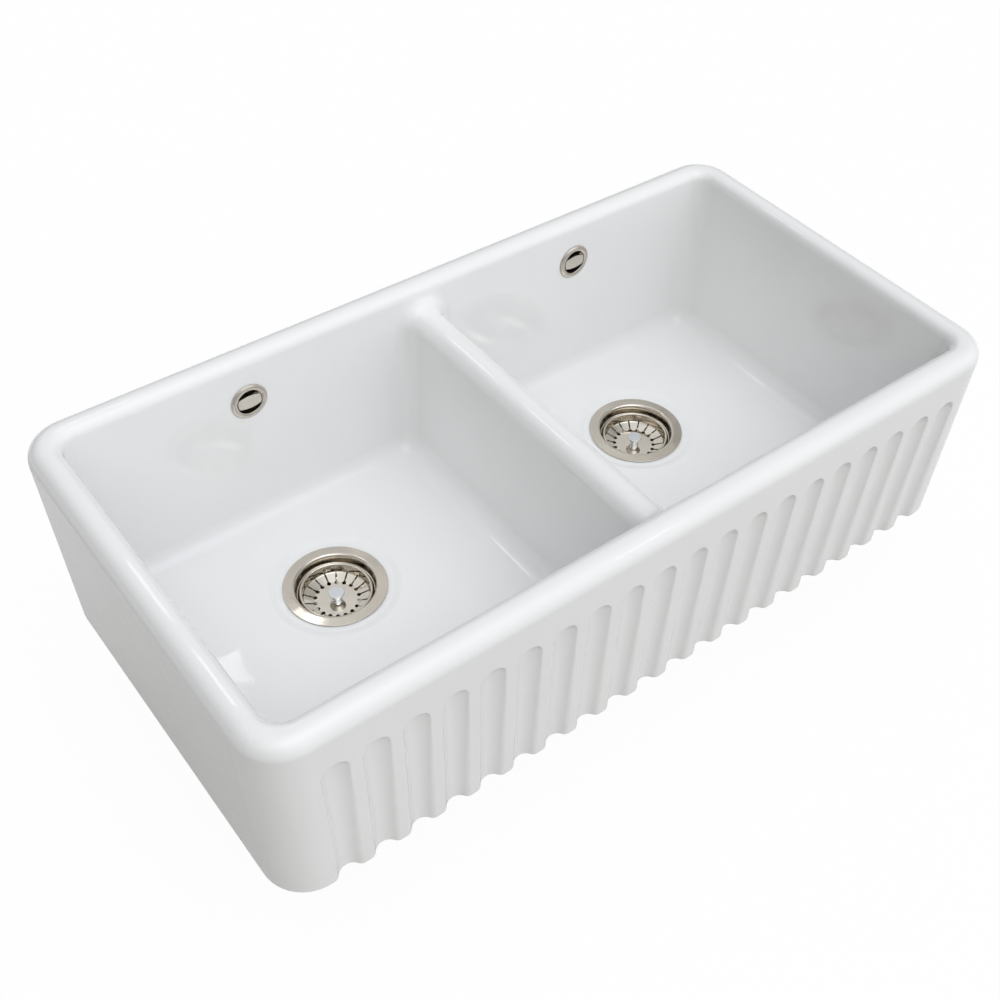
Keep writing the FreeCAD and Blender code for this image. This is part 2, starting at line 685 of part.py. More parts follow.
def overflow_elbow(x):
    """Closed elbow behind the wall, with a hose spigot that points down."""
    points = [(elbow_bore_radius, elbow_front), (elbow_flange_radius, elbow_front),
              (elbow_flange_radius, elbow_front + elbow_flange_thickness),
              (elbow_radius, elbow_front + elbow_flange_thickness), (elbow_radius, elbow_back),
              (0, elbow_back), (0, elbow_back - elbow_wall),
              (elbow_bore_radius, elbow_back - elbow_wall)]
    radii = [0, 0, elbow_edge_radius, 0, elbow_round_outside, 0, 0, elbow_round_inside]
    shell = turned_back(points, radii, x, overflow_level)
    spigot_y = elbow_front + elbow_spigot_setback
    spigot = post(x, spigot_y, hose_spigot_radius, elbow_spigot_bottom, overflow_level)
    spigot = spigot.fuse(post(x, spigot_y, spigot_collar_radius, elbow_collar_bottom, overflow_level))
    inside = rod_back(x, overflow_level, elbow_bore_radius + elbow_wall / 2, elbow_front,
                      elbow_back - elbow_wall / 2)
    shell = shell.fuse(spigot.cut(inside))
    return shell.cut(post(x, spigot_y, hose_spigot_bore, elbow_spigot_bottom - small_overshoot,
                          overflow_level))


if __name__ == "__main__":
    os.makedirs("parts", exist_ok=True)
    save(sink_body(), "sink_body")
    waste_parts = [strainer_body, flange_seal, floor_gasket, waste_body, waste_screw,
                   strainer_basket, basket_knob, basket_stem, basket_seal]
    overflow_parts = [overflow_ring, overflow_plate, overflow_seal, overflow_back_seal, overflow_elbow]
    for side_name, place in drain_places.items():
        for make in waste_parts:
            save(make(*place), side_name + "_" + make.__name__)
        for make in overflow_parts:
            save(make(overflow_places[side_name]), side_name + "_" + make.__name__)
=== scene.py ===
# %% [markdown]
# # A fluted farmhouse sink
#
# This lesson dresses a double-bowl fireclay sink. Its solids come from a CAD model at real size, in metres,
# and they stay where they are. Blender adds what solids don't have: a glaze with depth, turned and polished
# steel, rubber, moulded plastic, threads and ribs, and a small studio to look at them in.
#
# The first cell loads the fixed frame and keeps its box.

import json
import math

import bmesh
import bpy
from mathutils import Matrix, Vector

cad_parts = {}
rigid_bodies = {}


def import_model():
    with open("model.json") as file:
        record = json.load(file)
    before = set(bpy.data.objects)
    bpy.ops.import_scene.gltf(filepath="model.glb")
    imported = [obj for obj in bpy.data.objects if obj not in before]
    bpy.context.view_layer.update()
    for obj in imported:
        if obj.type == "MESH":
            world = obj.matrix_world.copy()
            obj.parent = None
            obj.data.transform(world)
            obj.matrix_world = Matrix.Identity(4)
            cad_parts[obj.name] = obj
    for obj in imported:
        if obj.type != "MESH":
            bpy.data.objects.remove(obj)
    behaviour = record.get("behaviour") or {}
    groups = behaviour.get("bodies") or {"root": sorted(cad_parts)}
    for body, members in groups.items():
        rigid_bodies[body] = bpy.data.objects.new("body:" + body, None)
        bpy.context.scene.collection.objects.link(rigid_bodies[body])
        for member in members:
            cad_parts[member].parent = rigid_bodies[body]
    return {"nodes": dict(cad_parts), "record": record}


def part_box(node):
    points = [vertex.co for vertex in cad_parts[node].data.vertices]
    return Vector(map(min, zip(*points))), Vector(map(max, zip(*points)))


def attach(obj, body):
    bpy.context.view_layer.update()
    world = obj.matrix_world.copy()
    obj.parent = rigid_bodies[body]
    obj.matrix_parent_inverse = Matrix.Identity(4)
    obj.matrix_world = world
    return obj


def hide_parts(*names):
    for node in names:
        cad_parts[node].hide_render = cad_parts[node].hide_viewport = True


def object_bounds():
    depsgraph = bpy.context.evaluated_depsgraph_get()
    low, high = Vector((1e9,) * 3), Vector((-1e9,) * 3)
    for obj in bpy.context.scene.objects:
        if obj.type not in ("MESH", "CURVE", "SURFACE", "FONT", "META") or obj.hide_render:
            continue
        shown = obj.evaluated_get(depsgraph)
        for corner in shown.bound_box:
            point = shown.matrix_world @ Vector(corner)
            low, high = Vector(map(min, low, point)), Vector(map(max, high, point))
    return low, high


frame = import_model()
cad_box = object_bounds()
nodes = frame["nodes"]
sides = ("left", "right")
print("CAD nodes:", len(nodes), "box:", [[round(v, 4) for v in corner] for corner in cad_box])

# %% [markdown]
# ## The camera
#
# The photograph was taken from above the sink's front left corner. Five numbers say where such a camera is:
# how far round, how high, how far off, what it aims at, and how much it leans. Its lens is written as the
# distance from lens to film counted in pixels of a square picture, with the pixel that the lens points at.
# Blender wants a focal length in millimetres and a shift instead, and both follow from those numbers.

# %% Place the camera
picture_pixels = 1000
sensor_width = 36.0
camera_turn = math.radians(-40.66)
camera_height_angle = math.radians(49.71)
camera_distance = 1.3322
camera_aim = Vector((-0.0515, -0.0846, 0.0239))
camera_lean = math.radians(3.6)
focal_pixels = 1233.5
lens_pixel = (536.9, 596.6)


def place_camera():
    back = Vector((math.sin(camera_turn) * math.cos(camera_height_angle),
                   -math.cos(camera_turn) * math.cos(camera_height_angle),
                   math.sin(camera_height_angle)))
    level_right = Vector((math.cos(camera_turn), math.sin(camera_turn), 0.0))
    level_up = back.cross(level_right)
    right = level_right * math.cos(camera_lean) + level_up * math.sin(camera_lean)
    up = level_up * math.cos(camera_lean) - level_right * math.sin(camera_lean)
    data = bpy.data.cameras.new("photo_camera")
    data.sensor_width = sensor_width
    data.lens = focal_pixels / picture_pixels * sensor_width
    data.shift_x = 0.5 - lens_pixel[0] / picture_pixels
    data.shift_y = lens_pixel[1] / picture_pixels - 0.5
    camera = bpy.data.objects.new("photo_camera", data)
    turn = Matrix((right, up, back)).transposed().to_4x4()
    camera.matrix_world = Matrix.Translation(camera_aim + back * camera_distance) @ turn
    bpy.context.scene.collection.objects.link(camera)
    bpy.context.scene.camera = camera
    place = [round(v, 3) for v in camera.matrix_world.translation]
    print("camera at", place, "lens", round(data.lens, 1), "mm")


place_camera()

# %% [markdown]
# Materials are trees of nodes. They could be drawn by hand in the shader editor, but a script can't keep
# that. Here a small helper makes a node, sets its values and joins its inputs, so that a material reads
# like a recipe.

# %% A helper for node trees
def add(tree, kind, inputs=None, **settings):
    """Adds one node. An input is a value or another node's output socket."""
    made = tree.nodes.new(kind)
    for key, value in settings.items():
        setattr(made, key, value)
    for key, value in (inputs or {}).items():
        socket = made.inputs[key]
        if isinstance(value, bpy.types.NodeSocket):
            tree.links.new(value, socket)
        else:
            socket.default_value = value
    return made


def maths(tree, operation, a, b=0.0):
    """One sum on single numbers."""
    return add(tree, "ShaderNodeMath", {0: a, 1: b}, operation=operation).outputs[0]


def between(tree, value, low, high, to_low=0.0, to_high=1.0):
    """Maps a number from one range to another, clamped."""
    made = add(tree, "ShaderNodeMapRange", {"Value": value, "From Min": low, "From Max": high,
                                            "To Min": to_low, "To Max": to_high})
    return made.outputs["Result"]


# a mix node's sockets while it mixes colours
colour_a = 6
colour_b = 7
mixed_colour = 2


def mix_colours(tree, share, first, second):
    """A colour the given share of the way from the first to the second."""
    inputs = {"Factor": share, colour_a: (*first, 1.0), colour_b: (*second, 1.0)}
    return add(tree, "ShaderNodeMix", inputs, data_type="RGBA").outputs[mixed_colour]


# %% [markdown]
# ## The studio
#
# White glaze shows its shape only through soft differences of light. A studio for such ware is a tent of
# large white panels, lit from outside: the strongest hangs over the front edge, weaker ones stand all
# round, and low down there are panels only at the front and the right, so that the left face stays in
# shade. Lamps with hard edges would draw streaks along the rim. So the panels are painted on the world as
# soft round glows, each with a turn round the sink (0 is the front, 90 the right), a height above the
# horizon, a strength and a tint.
#
# A glow is e to the power of k * (cosine - 1), where the cosine is that of the angle to the panel's middle.

# %% Paint the soft panels on the world
panel_sharpness = 10.0
cool_white = (0.96, 1.0, 1.05)
plain_white = (1.0, 1.0, 1.0)
warm_white = (1.03, 1.0, 0.93)
soft_panels = {
    "overhead": (0, 64, 2.30, cool_white),
    "back_left": (216, 64, 0.66, plain_white),
    "back_middle": (176, 38, 0.40, cool_white),
    "back_right_high": (144, 64, 0.34, cool_white),
    "back_right_low": (135, 38, 0.48, warm_white),
    "front_left": (315, 38, 0.96, warm_white),
    "front_right": (45, 38, 0.50, warm_white),
    "low_front": (0, 10, 0.80, plain_white),
    "low_front_right": (36, 10, 0.90, cool_white),
    "low_right": (72, 10, 0.68, plain_white),
}


def way_to(turn, height):
    """The direction at a turn round the sink and a height above the horizon, in degrees."""
    across = math.cos(math.radians(height))
    return Vector((math.sin(math.radians(turn)) * across, -math.cos(math.radians(turn)) * across,
                   math.sin(math.radians(height))))


def paint_world():
    world = bpy.data.worlds.new("studio")
    bpy.context.scene.world = world
    world.use_nodes = True
    tree = world.node_tree
    tree.nodes.clear()
    way = add(tree, "ShaderNodeTexCoord").outputs["Generated"]
    light = None
    for turn, height, strength, tint in soft_panels.values():
        cosine = add(tree, "ShaderNodeVectorMath", {0: way, 1: way_to(turn, height)},
                     operation="DOT_PRODUCT").outputs["Value"]
        power = maths(tree, "MULTIPLY", maths(tree, "SUBTRACT", cosine, 1.0), panel_sharpness)
        glow = maths(tree, "MULTIPLY", maths(tree, "EXPONENT", power), strength)
        tinted = add(tree, "ShaderNodeVectorMath", {0: tint, "Scale": glow}, operation="SCALE").outputs[0]
        if light is None:
            light = tinted
        else:
            light = add(tree, "ShaderNodeVectorMath", {0: light, 1: tinted}, operation="ADD").outputs[0]
    background = add(tree, "ShaderNodeBackground", {"Color": light, "Strength": 1.0})
    add(tree, "ShaderNodeOutputWorld", {"Surface": background.outputs[0]})
    print("panels on the world:", len(soft_panels))


paint_world()

# %% [markdown]
# Soft light alone looks dull on glass and steel. Small bare lamps add the crisp white points and the thin
# lines along the fillets. They are bright but tiny, so they light almost nothing. Behind the sink hangs a
# window of six panes, because polished steel shows what it mirrors: its place is where the left flange's
# lower left edge mirrors it towards the camera, and where the bowl's floor hardly does.

# %% Hang the small lamps
sink_middle = Vector((0.0, 0.0, 0.12))
lamp_distance = 2.2


def small_lamp(name, turn, height, width, tall, radiance):
    """A small rectangular lamp in the direction that turn and height give."""
    data = bpy.data.lights.new(name, "AREA")
    data.shape = "RECTANGLE"
    data.size = width
    data.size_y = tall
    data.energy = radiance * math.pi * width * tall
    lamp = bpy.data.objects.new(name, data)
    lamp.location = sink_middle + way_to(turn, height) * lamp_distance
    lamp.rotation_mode = "QUATERNION"
    lamp.rotation_quaternion = way_to(turn, height).to_track_quat("Z", "Y")
    bpy.context.scene.collection.objects.link(lamp)
    print(name, "watts", round(data.energy, 2))


streak_turn = 37
streak_height = 42
streak_width = 0.24
streak_tall = 0.035
streak_radiance = 14.0
small_lamp("front_right_lamp", streak_turn, streak_height, streak_width, streak_tall, streak_radiance)

window_turn = 182
window_height = 54
window_columns = (-1, 0, 1)
window_rows = (-1, 1)
pane_step = 5.0
pane_rise = 3.6
pane_width = 0.10
pane_tall = 0.17
pane_radiance = 3.0
for column in window_columns:
    for row in window_rows:
        small_lamp("window_pane", window_turn + column * pane_step, window_height + row * pane_rise,
                   pane_width, pane_tall, pane_radiance)

# %% [markdown]
# The floor is white to the camera. Reflections see the floor's real shade instead, with the sink's shadow
# in it, so that the left face mirrors a grey floor close by. To the light that bounces off it the floor is
# darker still, or it would light the shaded side from below. Its faint glow isn't sampled as a lamp: Cycles
# would otherwise count that glow as light on the sink.

# %% Lay the floor
floor_half = 14.0
floor_gap = 0.0005
floor_bounce = (0.42, 0.40, 0.38)
floor_seen = (0.93, 0.93, 0.93)
floor_glow_to_camera = 0.96
floor_glow_in_mirrors = 0.10


def lay_floor():
    level = cad_box[0].z - floor_gap
    mesh = bpy.data.meshes.new("studio_floor")
    corners = [(-floor_half, -floor_half, level), (floor_half, -floor_half, level),
               (floor_half, floor_half, level), (-floor_half, floor_half, level)]
    mesh.from_pydata(corners, [], [(0, 1, 2, 3)])
    floor = bpy.data.objects.new("studio_floor", mesh)
    bpy.context.scene.collection.objects.link(floor)
    material = bpy.data.materials.new("studio_floor")
    material.use_nodes = True
    material.cycles.emission_sampling = "NONE"
    tree = material.node_tree
    tree.nodes.clear()
    rays = add(tree, "ShaderNodeLightPath")
    to_camera = rays.outputs["Is Camera Ray"]
    in_mirror = maths(tree, "MAXIMUM", rays.outputs["Is Glossy Ray"], rays.outputs["Is Transmission Ray"])
    seen = maths(tree, "MAXIMUM", to_camera, in_mirror)
    glow_share = between(tree, to_camera, 0.0, 1.0, floor_glow_in_mirrors, floor_glow_to_camera)
    bounce = add(tree, "ShaderNodeBsdfDiffuse", {"Color": (*floor_bounce, 1.0)})
    lit = add(tree, "ShaderNodeBsdfDiffuse", {"Color": (*floor_seen, 1.0)})
    glow = add(tree, "ShaderNodeEmission", {"Color": (1.0, 1.0, 1.0, 1.0), "Strength": 1.0})
    pale = add(tree, "ShaderNodeMixShader", {0: glow_share, 1: lit.outputs[0], 2: glow.outputs[0]})
    surface = add(tree, "ShaderNodeMixShader", {0: seen, 1: bounce.outputs[0], 2: pale.outputs[0]})
    add(tree, "ShaderNodeOutputMaterial", {"Surface": surface.outputs[0]})
    mesh.materials.append(material)
    print("floor at", round(level, 4))


lay_floor()

# %% [markdown]
# ## Glazed fireclay
#
# The body is thick clay under a white glaze that is fired to glass. The clay scatters light, the glass on
# top mirrors the room. A smooth white plastic would look too perfect, so the glaze gets what real glaze
# has: long shallow waves from the way it ran, a fine orange-peel skin, a very slight drift of colour, and
# bare ground clay on the base, where no glaze may touch the kiln shelf.
#
# Every pattern reads Object coordinates, which are metres here, so a noise of scale 40 has waves of 25 mm.

# %% Helpers for materials
most_of_noise = (0.3, 0.7)


def new_material(name):
    material = bpy.data.materials.new(name)
    material.use_nodes = True
    material.node_tree.nodes.clear()
    return material, material.node_tree


def noise(tree, where, scale, detail=2.0, roughness=0.5):
    made = add(tree, "ShaderNodeTexNoise", {"Vector": where, "Scale": scale, "Detail": detail,
                                            "Roughness": roughness})
    return made.outputs["Fac"]


def bump(tree, height, strength, distance, below=None):
    """Tilts the normals as a relief of the given depth would. It may lie over another bump."""
    inputs = {"Height": height, "Strength": strength, "Distance": distance}
    if below is not None:
        inputs["Normal"] = below
    return add(tree, "ShaderNodeBump", inputs).outputs["Normal"]


def principled(tree, colour, roughness, normal, **more):
    inputs = {"Base Color": colour, "Roughness": roughness, "Normal": normal, **more}
    return add(tree, "ShaderNodeBsdfPrincipled", inputs).outputs[0]


# %% Mix the glaze
glaze_colour = (0.900, 0.900, 0.900)
glaze_colour_drift = (0.888, 0.888, 0.890)
glaze_roughness = 0.030
glaze_roughness_drift = 0.02
glaze_index = 1.5
drift_scale = 7.0
drift_range = (0.35, 0.65)
smear_scale = 90.0
wave_scale = 38.0
wave_strength = 0.12
wave_depth = 0.0012
skin_scale = 260.0
skin_strength = 0.10
skin_depth = 0.00012


def glaze_surface(tree, here):
    """White glaze with waves, orange peel and a slight drift of colour."""
    drift = between(tree, noise(tree, here, drift_scale, 3.0), *drift_range)
    colour = mix_colours(tree, drift, glaze_colour, glaze_colour_drift)
    rough = between(tree, noise(tree, here, smear_scale, 3.0), *most_of_noise,
                    glaze_roughness, glaze_roughness + glaze_roughness_drift)
    waves = bump(tree, noise(tree, here, wave_scale, 1.5), wave_strength, wave_depth)
    skin = bump(tree, noise(tree, here, skin_scale), skin_strength, skin_depth, waves)
    return principled(tree, colour, rough, skin, IOR=glaze_index)


# %% Mix the bare clay and join the two
clay_colour = (0.72, 0.66, 0.57)
clay_fleck_colour = (0.52, 0.44, 0.35)
clay_roughness = 0.88
fleck_scale = 520.0
fleck_range = (0.64, 0.70)
grit_scale = 1400.0
grit_strength = 0.5
grit_depth = 0.0003
glaze_line = 0.0024
glaze_line_wander = 0.0016
glaze_line_scale = 60.0
ground_band = 0.006
ground_facing = 0.7


def clay_surface(tree, here):
    """Ground clay, gritty and flecked."""
    flecks = between(tree, noise(tree, here, fleck_scale), *fleck_range)
    colour = mix_colours(tree, flecks, clay_colour, clay_fleck_colour)
    grit = bump(tree, noise(tree, here, grit_scale, 4.0, 0.7), grit_strength, grit_depth)
    return principled(tree, colour, clay_roughness, grit)


def bare_share(tree, here):
    """1 on the underside and up to the wandering line where the glaze stops, 0 above it."""
    level = add(tree, "ShaderNodeSeparateXYZ", {0: here}).outputs["Z"]
    facing = add(tree, "ShaderNodeNewGeometry").outputs["Normal"]
    upwards = add(tree, "ShaderNodeSeparateXYZ", {0: facing}).outputs["Z"]
    wander = maths(tree, "MULTIPLY", noise(tree, here, glaze_line_scale), glaze_line_wander)
    low = maths(tree, "LESS_THAN", maths(tree, "ADD", level, wander), glaze_line)
    under = maths(tree, "LESS_THAN", upwards, -ground_facing)
    near_base = maths(tree, "LESS_THAN", level, ground_band)
    return maths(tree, "MAXIMUM", low, maths(tree, "MULTIPLY", under, near_base))


def glaze_material():
    material, tree = new_material("white_glaze")
    here = add(tree, "ShaderNodeTexCoord").outputs["Object"]
    surface = add(tree, "ShaderNodeMixShader", {0: bare_share(tree, here), 1: glaze_surface(tree, here),
                                                2: clay_surface(tree, here)})
    add(tree, "ShaderNodeOutputMaterial", {"Surface": surface.outputs[0]})
    return material


white_glaze = glaze_material()
print("made", white_glaze.name)

# %% [markdown]
# The CAD body arrives as loose triangles, one patch for each of its faces, and light breaks where patches
# meet. A copy of it is merged, its real edges are marked sharp, and Weighted Normal leans every corner's
# normal towards the largest face beside it. Flat walls then stay flat, and the fillets between them roll. A
# remesh would also join the patches, but it would soften the flutes' edges and cost many more faces.

# %% Skin the body
merge_reach = 0.000005
body_sharp_angle = math.radians(38.0)


def merged_copy(source, name, sharp_angle):
    """A copy of a CAD node with its patches joined and its shading rounded."""
    mesh = source.data.copy()
    mesh.name = name
    shape = bmesh.new()
    shape.from_mesh(mesh)
    bmesh.ops.remove_doubles(shape, verts=shape.verts, dist=merge_reach)
    for face in shape.faces:
        face.smooth = True
    for edge in shape.edges:
        edge.smooth = len(edge.link_faces) == 2 and edge.calc_face_angle(0.0) < sharp_angle
    shape.to_mesh(mesh)
    shape.free()
    if mesh.attributes.get("custom_normal"):
        mesh.attributes.remove(mesh.attributes["custom_normal"])
    mesh.materials.clear()
    copy = bpy.data.objects.new(name, mesh)
    bpy.context.scene.collection.objects.link(copy)
    weigh = copy.modifiers.new("weigh", "WEIGHTED_NORMAL")
    weigh.keep_sharp = True
    return plain_mesh(copy)


def plain_mesh(thing):
    """Turns an object's modifiers into plain mesh."""
    bpy.context.view_layer.update()
    finished = bpy.data.meshes.new_from_object(thing.evaluated_get(bpy.context.evaluated_depsgraph_get()))
    finished.name = thing.name
    thing.modifiers.clear()
    thing.data = finished
    return thing


sink_skin = merged_copy(nodes["sink_body"], "glazed_body", body_sharp_angle)
sink_skin.data.materials.append(white_glaze)
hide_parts("sink_body")
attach(sink_skin, "sink")
print("glazed body:", len(sink_skin.data.polygons), "faces")

# %% [markdown]
# ## Steel
#
# Three finishes of steel meet in each drain. The flange and the cup are satin, with the fine rings that a
# lathe's polishing cloth leaves. The basket is pressed from bright sheet and mirrors its own knob. The knob
# is chromed. A picture of brushed metal would have to be bent into rings. Here the pattern is a noise of
# the distance from each part's own axis, which needs no picture and turns with the basket.

# %% A recipe for turned metal
ring_scale = 900.0
ring_depth = 0.00008
patch_scale = 55.0
patch_dimming = 0.94
rub_scale = 160.0


def turned_metal(name, colour, axis_point, along, roughness, spread, ring_strength):
    """Metal with fine turning rings round an axis through axis_point, along 'Z' or 'Y'."""
    material, tree = new_material(name)
    here = add(tree, "ShaderNodeTexCoord").outputs["Object"]
    centred = add(tree, "ShaderNodeVectorMath", {0: here, 1: axis_point}, operation="SUBTRACT").outputs[0]
    flat = (1.0, 1.0, 0.0) if along == "Z" else (1.0, 0.0, 1.0)
    across = add(tree, "ShaderNodeVectorMath", {0: centred, 1: flat}, operation="MULTIPLY").outputs[0]
    radius = add(tree, "ShaderNodeVectorMath", {0: across}, operation="LENGTH").outputs["Value"]
    ring_place = add(tree, "ShaderNodeCombineXYZ", {0: radius, 1: 0.0, 2: 0.0}).outputs[0]
    rings = bump(tree, noise(tree, ring_place, ring_scale, 4.0, 0.6), ring_strength, ring_depth)
    patches = between(tree, noise(tree, here, patch_scale, 3.0), *most_of_noise)
    tone = mix_colours(tree, patches, colour, tuple(part * patch_dimming for part in colour))
    rough = between(tree, noise(tree, here, rub_scale, 3.0), *most_of_noise,
                    roughness - spread, roughness + spread)
    metal = principled(tree, tone, rough, rings, Metallic=1.0)
    add(tree, "ShaderNodeOutputMaterial", {"Surface": metal})
    return material


# %% Dress the steel and chrome pieces
satin_colour = (0.66, 0.61, 0.54)
bright_colour = (0.74, 0.69, 0.61)
chrome_colour = (0.74, 0.76, 0.79)

# each finish: the axis of its rings, its colour, roughness, how far that spreads, and the rings' strength
finishes = {
    "satin_steel": ("Z", satin_colour, 0.12, 0.03, 0.12),
    "bright_steel": ("Z", bright_colour, 0.06, 0.02, 0.06),
    "chrome": ("Z", chrome_colour, 0.05, 0.01, 0.05),
    "ring_steel": ("Y", satin_colour, 0.22, 0.04, 0.25),
    "plate_steel": ("Y", bright_colour, 0.20, 0.03, 0.15),
}

# each piece: its finish, and the record's material slot
metal_pieces = {
    "strainer_body": ("satin_steel", "satin_steel"),
    "waste_screw": ("satin_steel", "satin_steel"),
    "strainer_basket": ("bright_steel", "polished_steel"),
    "basket_knob": ("chrome", "chrome"),
    "basket_stem": ("chrome", "chrome"),
    "overflow_ring": ("ring_steel", "satin_steel"),
    "overflow_plate": ("plate_steel", "satin_steel"),
}


def dress(name, material):
    """Gives a CAD node's own object a material, in every slot."""
    piece = nodes[name]
    piece.data.materials.clear()
    piece.data.materials.append(material)


def middle(name):
    low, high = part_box(name)
    return (low + high) / 2


for side in sides:
    centres = {"Z": middle(side + "_strainer_body"), "Y": middle(side + "_overflow_ring")}
    metals = {}
    for finish, (along, colour, roughness, spread, ring_strength) in finishes.items():
        metals[finish] = turned_metal(side + "_" + finish, colour, centres[along], along, roughness, spread,
                                      ring_strength)
    for name, (finish, slot_name) in metal_pieces.items():
        dress(side + "_" + name, metals[finish])
print("metals made for both sides")

# %% [markdown]
# ## Rubber and moulded plastic
#
# The seals are black rubber with a matt bloom. Pot and elbow are moulded in white plastic with a finely
# textured skin. A flat colour would do from afar, but close views show it as paint, so both get a cloudy
# tone and a fine grain.

# %% Make rubber and plastic
rubber_colour = (0.035, 0.035, 0.036)
rubber_bloom_colour = (0.075, 0.074, 0.072)
rubber_roughness = 0.62
bloom_scale = 240.0
bloom_range = (0.4, 0.75)
rubber_grain_scale = 2200.0
rubber_grain_strength = 0.35
rubber_grain_depth = 0.0001
plastic_colour = (0.70, 0.70, 0.685)
plastic_cloud_colour = (0.66, 0.66, 0.645)
plastic_roughness = 0.42
cloud_scale = 30.0
plastic_grain_scale = 1500.0
plastic_grain_strength = 0.25
plastic_grain_depth = 0.00012


def rubber_material():
    material, tree = new_material("black_rubber")
    here = add(tree, "ShaderNodeTexCoord").outputs["Object"]
    bloom = between(tree, noise(tree, here, bloom_scale, 4.0, 0.6), *bloom_range)
    colour = mix_colours(tree, bloom, rubber_colour, rubber_bloom_colour)
    grain = bump(tree, noise(tree, here, rubber_grain_scale, 3.0), rubber_grain_strength, rubber_grain_depth)
    add(tree, "ShaderNodeOutputMaterial", {"Surface": principled(tree, colour, rubber_roughness, grain)})
    return material


def plastic_material():
    material, tree = new_material("white_plastic")
    here = add(tree, "ShaderNodeTexCoord").outputs["Object"]
    cloud = between(tree, noise(tree, here, cloud_scale, 3.0), *most_of_noise)
    colour = mix_colours(tree, cloud, plastic_colour, plastic_cloud_colour)
    grain = bump(tree, noise(tree, here, plastic_grain_scale, 3.0), plastic_grain_strength,
                 plastic_grain_depth)
    add(tree, "ShaderNodeOutputMaterial", {"Surface": principled(tree, colour, plastic_roughness, grain)})
    return material


black_rubber = rubber_material()
white_plastic = plastic_material()
for side in sides:
    for seal in ("flange_seal", "floor_gasket", "basket_seal", "overflow_seal", "overflow_back_seal"):
        dress(side + "_" + seal, black_rubber)
    for moulding in ("waste_body", "overflow_elbow"):
        dress(side + "_" + moulding, white_plastic)
print("rubber and plastic on both sides")

# %% [markdown]
# ## Threads, barbs and lugs
#
# Seen from below, a waste has a pipe thread for the trap, barbs that hold the overflow hose, and lugs round
# its flange for the fitter's grip. All of them repeat, so small node trees make them: a spiral that carries
# a round profile, a row of cones, and a ring of blocks. Modelling each turn and tooth by hand would give
# the same shapes, but a tree takes its sizes as named inputs, and both sides share it.

# %% Helpers for trees that make shapes
def shape_tree(name, sizes):
    """A new Geometry Nodes tree with the given inputs, and the sockets that they arrive on."""
    tree = bpy.data.node_groups.new(name, "GeometryNodeTree")
    tree.interface.new_socket("Geometry", in_out="OUTPUT", socket_type="NodeSocketGeometry")
    for size_name, kind in sizes.items():
        tree.interface.new_socket(size_name, in_out="INPUT", socket_type="NodeSocket" + kind)
    return tree, tree.nodes.new("NodeGroupInput").outputs


def place_and_finish(tree, shape, given, material):
    """Turns and moves the shape into place, makes it real and gives it its material."""
    placed = add(tree, "GeometryNodeTransform", {"Geometry": shape, "Translation": given["Place"],
                                                 "Rotation": given["Turn"]}).outputs[0]
    real = add(tree, "GeometryNodeRealizeInstances", {"Geometry": placed}).outputs[0]
    dressed = add(tree, "GeometryNodeSetMaterial", {"Geometry": real, "Material": material}).outputs[0]
    tree.links.new(dressed, tree.nodes.new("NodeGroupOutput").inputs[0])


def grow(name, tree, sizes):
    """Runs a tree once with its sizes, and keeps the result as a plain mesh on the sink's body."""
    thing = bpy.data.objects.new(name, bpy.data.meshes.new(name))
    bpy.context.scene.collection.objects.link(thing)
    made = thing.modifiers.new("grow", "NODES")
    made.node_group = tree
    for item in tree.interface.items_tree:
        if item.in_out == "INPUT":
            made[item.identifier] = sizes[item.name]
    plain_mesh(thing)
    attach(thing, "sink")
    print(name, len(thing.data.polygons), "faces")


def turn_onto(axis):
    """The Euler turn that lays +Z along an axis."""
    return tuple(Vector((0.0, 0.0, 1.0)).rotation_difference(Vector(axis)).to_euler())


# %% A tree for the pipe thread
placing = {"Place": "Vector", "Turn": "Vector"}
profile_corners = 6
steps_per_turn = 48


def thread_tree():
    tree, given = shape_tree("pipe_thread", {"Turns": "Float", "Thread Radius": "Float", "Length": "Float",
                                             "Ridge": "Float", **placing})
    path = add(tree, "GeometryNodeCurveSpiral",
               {"Resolution": steps_per_turn, "Rotations": given["Turns"], "Height": given["Length"],
                "Start Radius": given["Thread Radius"], "End Radius": given["Thread Radius"]}).outputs[0]
    ridge = add(tree, "GeometryNodeCurvePrimitiveCircle",
                {"Resolution": profile_corners, "Radius": given["Ridge"]}).outputs[0]
    tube = add(tree, "GeometryNodeCurveToMesh", {"Curve": path, "Profile Curve": ridge,
                                                 "Fill Caps": True}).outputs[0]
    place_and_finish(tree, tube, given, white_plastic)
    return tree


pipe_thread = thread_tree()
print(pipe_thread.name, len(pipe_thread.nodes), "nodes")

# %% A tree for the hose barbs
cone_corners = 48


def barb_tree():
    tree, given = shape_tree("hose_barbs", {"Count": "Int", "Spacing": "Vector", "Root Radius": "Float",
                                            "Tip Radius": "Float", "Barb Length": "Float", **placing})
    row = add(tree, "GeometryNodeMeshLine", {"Count": given["Count"], "Offset": given["Spacing"]}).outputs[0]
    barb = add(tree, "GeometryNodeMeshCone",
               {"Vertices": cone_corners, "Depth": given["Barb Length"],
                "Radius Top": given["Tip Radius"], "Radius Bottom": given["Root Radius"]}).outputs["Mesh"]
    barbs = add(tree, "GeometryNodeInstanceOnPoints", {"Points": row, "Instance": barb}).outputs[0]
    place_and_finish(tree, barbs, given, white_plastic)
    return tree


hose_barbs = barb_tree()
print(hose_barbs.name, len(hose_barbs.nodes), "nodes")


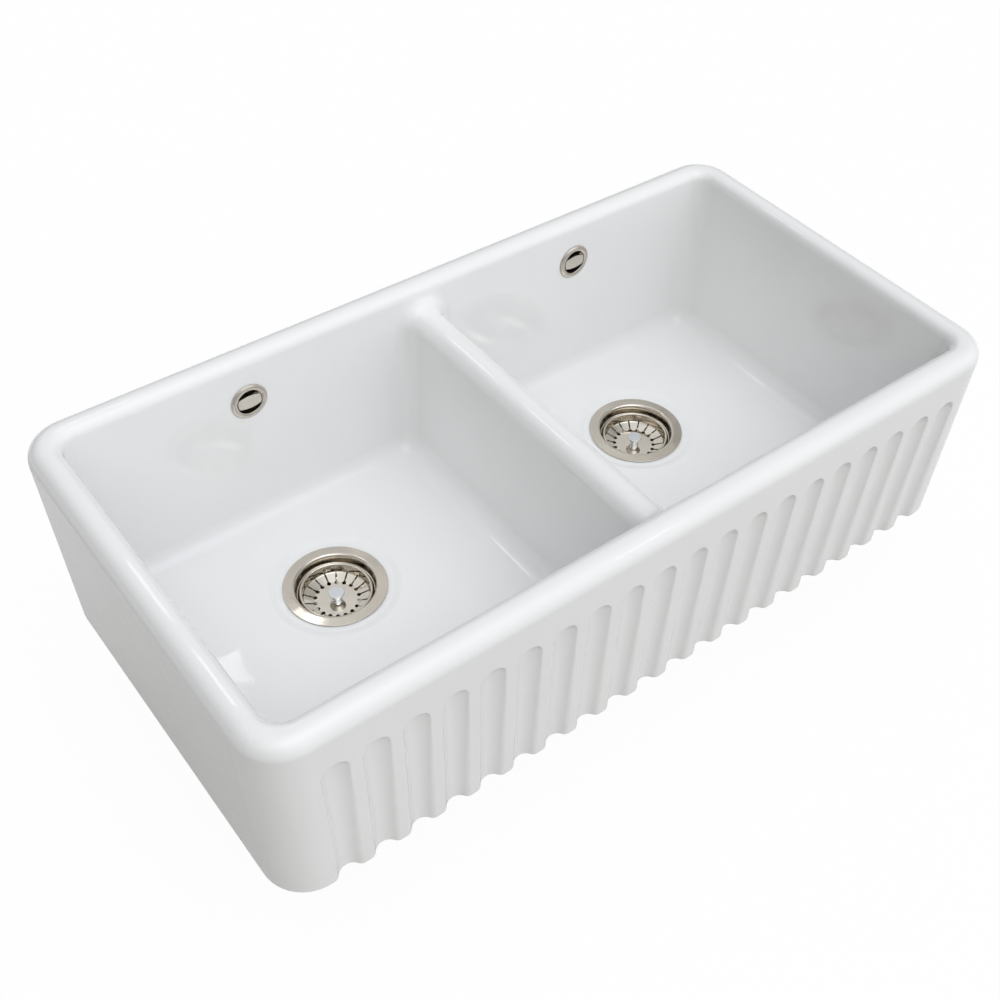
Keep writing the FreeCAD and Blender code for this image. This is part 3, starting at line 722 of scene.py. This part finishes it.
# %% A tree for the grip lugs
def lug_tree():
    tree, given = shape_tree("grip_lugs", {"Count": "Int", "Ring Radius": "Float", "Lug Size": "Vector",
                                           **placing})
    ring = add(tree, "GeometryNodeMeshCircle", {"Vertices": given["Count"], "Radius": given["Ring Radius"]})
    here = add(tree, "GeometryNodeInputPosition").outputs[0]
    outwards = add(tree, "FunctionNodeAlignRotationToVector", {"Vector": here}, axis="X").outputs[0]
    lug = add(tree, "GeometryNodeMeshCube", {"Size": given["Lug Size"]}).outputs["Mesh"]
    lugs = add(tree, "GeometryNodeInstanceOnPoints", {"Points": ring.outputs[0], "Instance": lug,
                                                      "Rotation": outwards}).outputs[0]
    place_and_finish(tree, lugs, given, white_plastic)
    return tree


grip_lugs = lug_tree()
print(grip_lugs.name, len(grip_lugs.nodes), "nodes")

# %% Sizes of threads, barbs and lugs, and the mounts that carry them
millimetre = 0.001
thread_pitch = 0.002309
thread_ridge = 0.00055
thread_run_in = 0.0035
barb_count = 3
barb_height = 0.0007
barb_share = 0.8
lug_count = 28
pot_edge = 0.0050
elbow_edge = 0.0040
pot_lug = (0.0022, 0.0036, 0.0034)
elbow_lug_count = 16
elbow_lug = (0.0018, 0.0030, 0.0028)
mounts = {mount["name"]: mount for mount in frame["record"]["mounts"]}


def pin(name):
    """Start, direction, radius and length of a pin mount, in metres."""
    mount = mounts[name]
    along = Vector(mount["axis"])
    length = mount["dims"]["length_mm"] * millimetre
    start = Vector(mount["pos_m"]) - along * (length / 2)
    return start, along, mount["dims"]["r_mm"] * millimetre, length


print("pins:", [name for name, mount in mounts.items() if mount["kind"] == "pin"])

# %% Grow threads, barbs and lugs on both sides
for side in sides:
    start, along, radius, length = pin(side + "_outlet")
    run = length - 2 * thread_run_in
    grow(side + "_outlet_thread", pipe_thread,
         {"Turns": run / thread_pitch, "Thread Radius": radius, "Length": run, "Ridge": thread_ridge,
          "Place": tuple(start + along * thread_run_in), "Turn": turn_onto(along)})
    for spigot in ("waste", "overflow"):
        start, along, radius, length = pin(side + "_" + spigot + "_hose_spigot")
        step = length / (barb_count + 1)
        grow(side + "_" + spigot + "_barbs", hose_barbs,
             {"Count": barb_count, "Spacing": (0.0, 0.0, step), "Root Radius": radius + barb_height,
              "Tip Radius": radius, "Barb Length": step * barb_share, "Place": tuple(start + along * step),
              "Turn": turn_onto(along)})
    low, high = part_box(side + "_waste_body")
    drain = middle(side + "_strainer_body")
    grow(side + "_pot_lugs", grip_lugs,
         {"Count": lug_count, "Ring Radius": (high.x - low.x) / 2, "Lug Size": pot_lug,
          "Place": (drain.x, drain.y, high.z - pot_edge / 2), "Turn": (0.0, 0.0, 0.0)})
    low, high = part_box(side + "_overflow_elbow")
    overflow = middle(side + "_overflow_ring")
    grow(side + "_elbow_lugs", grip_lugs,
         {"Count": elbow_lug_count, "Ring Radius": (high.x - low.x) / 2, "Lug Size": elbow_lug,
          "Place": (overflow.x, low.y + elbow_edge / 2, overflow.z), "Turn": turn_onto((0.0, 1.0, 0.0))})

# %% [markdown]
# ## Finish
#
# The picture is shown as it is measured, with no film look.

# %% Set the view
bpy.context.scene.view_settings.view_transform = "Standard"
